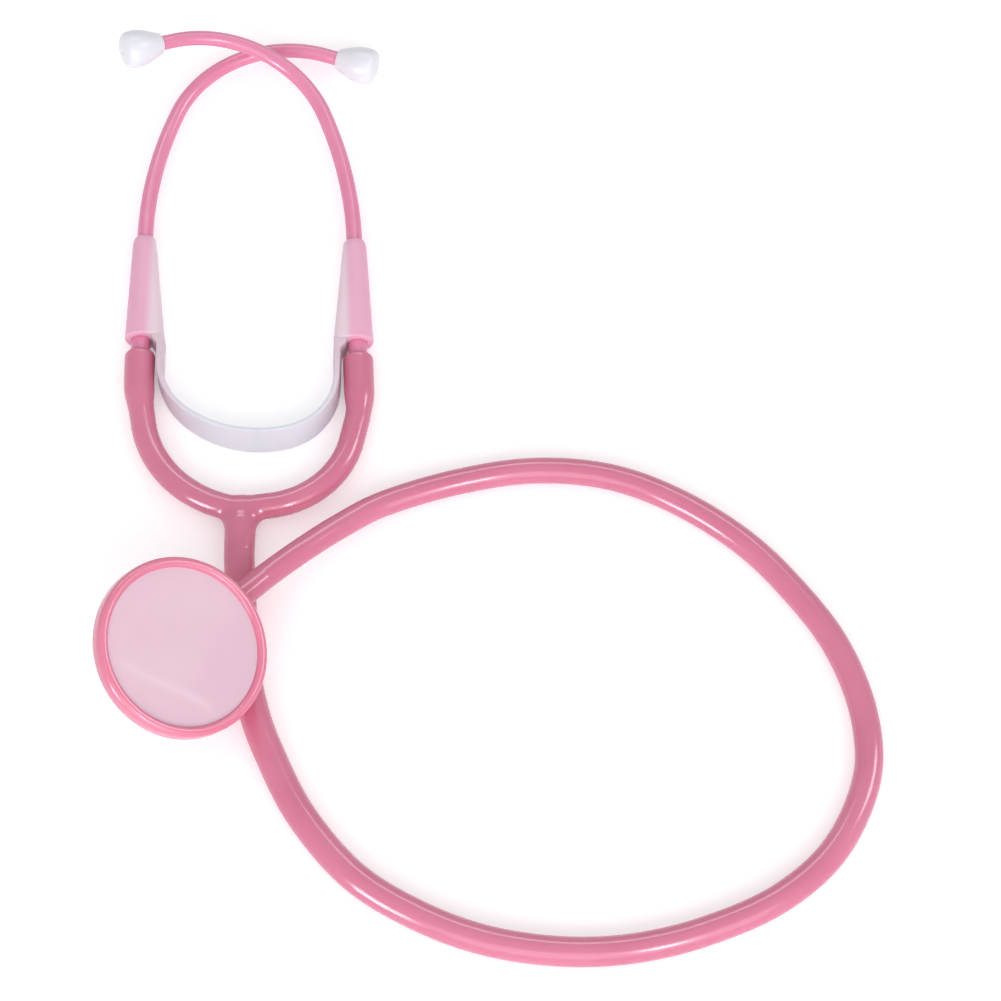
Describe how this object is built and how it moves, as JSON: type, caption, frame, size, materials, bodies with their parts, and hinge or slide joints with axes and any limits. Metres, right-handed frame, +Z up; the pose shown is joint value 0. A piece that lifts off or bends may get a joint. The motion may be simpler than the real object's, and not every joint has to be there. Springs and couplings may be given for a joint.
{
  "type": "toy stethoscope",
  "caption": "Toy stethoscope laid on a table: crossed ear tubes on a spring strap, a soft Y of tubing, and a long tube looped back to a round chest piece.",
  "frame": {"origin": "on the table under the middle of the headset and chest piece, measured without the long tube", "axes": "+X across the headset to the right, +Y from the chest piece to the ear tips, +Z up from the table"},
  "size_m": [0.2114, 0.2888, 0.0392],
  "materials": {
    "ear_tip": "soft, slightly see-through white plastic",
    "ear_tube": "glossy rigid pink plastic",
    "spring_band": "frosted see-through plastic",
    "tubing": "glossy soft pink PVC",
    "chest_body": "glossy rigid pink plastic",
    "diaphragm": "satin pale pink film",
    "retaining_ring": "glossy bright pink plastic"
  },
  "bodies": {
    "tubing": {"y_junction": "tubing", "left_arm": "tubing", "right_arm": "tubing", "spring_strap": "spring_band", "main_tube": "tubing", "hose_socket": "tubing"},
    "left_side": {"left_sleeve": "spring_band"},
    "right_side": {"right_sleeve": "spring_band"},
    "left_ear": {"left_ear_tube": "ear_tube", "left_ear_tip": "ear_tip"},
    "right_ear": {"right_ear_tube": "ear_tube", "right_ear_tip": "ear_tip"},
    "chest_piece": {"chest_body": "chest_body", "diaphragm": "diaphragm", "retaining_ring": "retaining_ring"}
  },
  "joints": [
    {"name": "left_spread", "type": "hinge", "parent": "tubing", "child": "left_side", "pos_m": [0.00094, -0.0172, 0.0047], "axis": [0, 0, 1], "range_deg": [0, 40], "stiffness_Nm_per_rad": 0.06, "deforming": ["left_arm", "spring_strap"]},
    {"name": "right_spread", "type": "hinge", "parent": "tubing", "child": "right_side", "pos_m": [0.00094, -0.0172, 0.0047], "axis": [0, 0, -1], "range_deg": [0, 40], "stiffness_Nm_per_rad": 0.06, "deforming": ["right_arm", "spring_strap"]},
    {"name": "left_tube_turn", "type": "hinge", "parent": "left_side", "child": "left_ear", "pos_m": [-0.02985, 0.01078, 0.0047], "axis": [-0.0087, 1, 0], "range_deg": [0, 40]},
    {"name": "right_tube_turn", "type": "hinge", "parent": "right_side", "child": "right_ear", "pos_m": [0.03172, 0.00974, 0.0047], "axis": [-0.0471, 0.9989, 0], "range_deg": [0, 40]},
    {"name": "chest_turn", "type": "hinge", "parent": "tubing", "child": "chest_piece", "pos_m": [-0.0162, -0.0898, 0.0184], "axis": [-0.6545, -0.7269, 0.2079], "range_deg": [0, 90]}
  ]
}
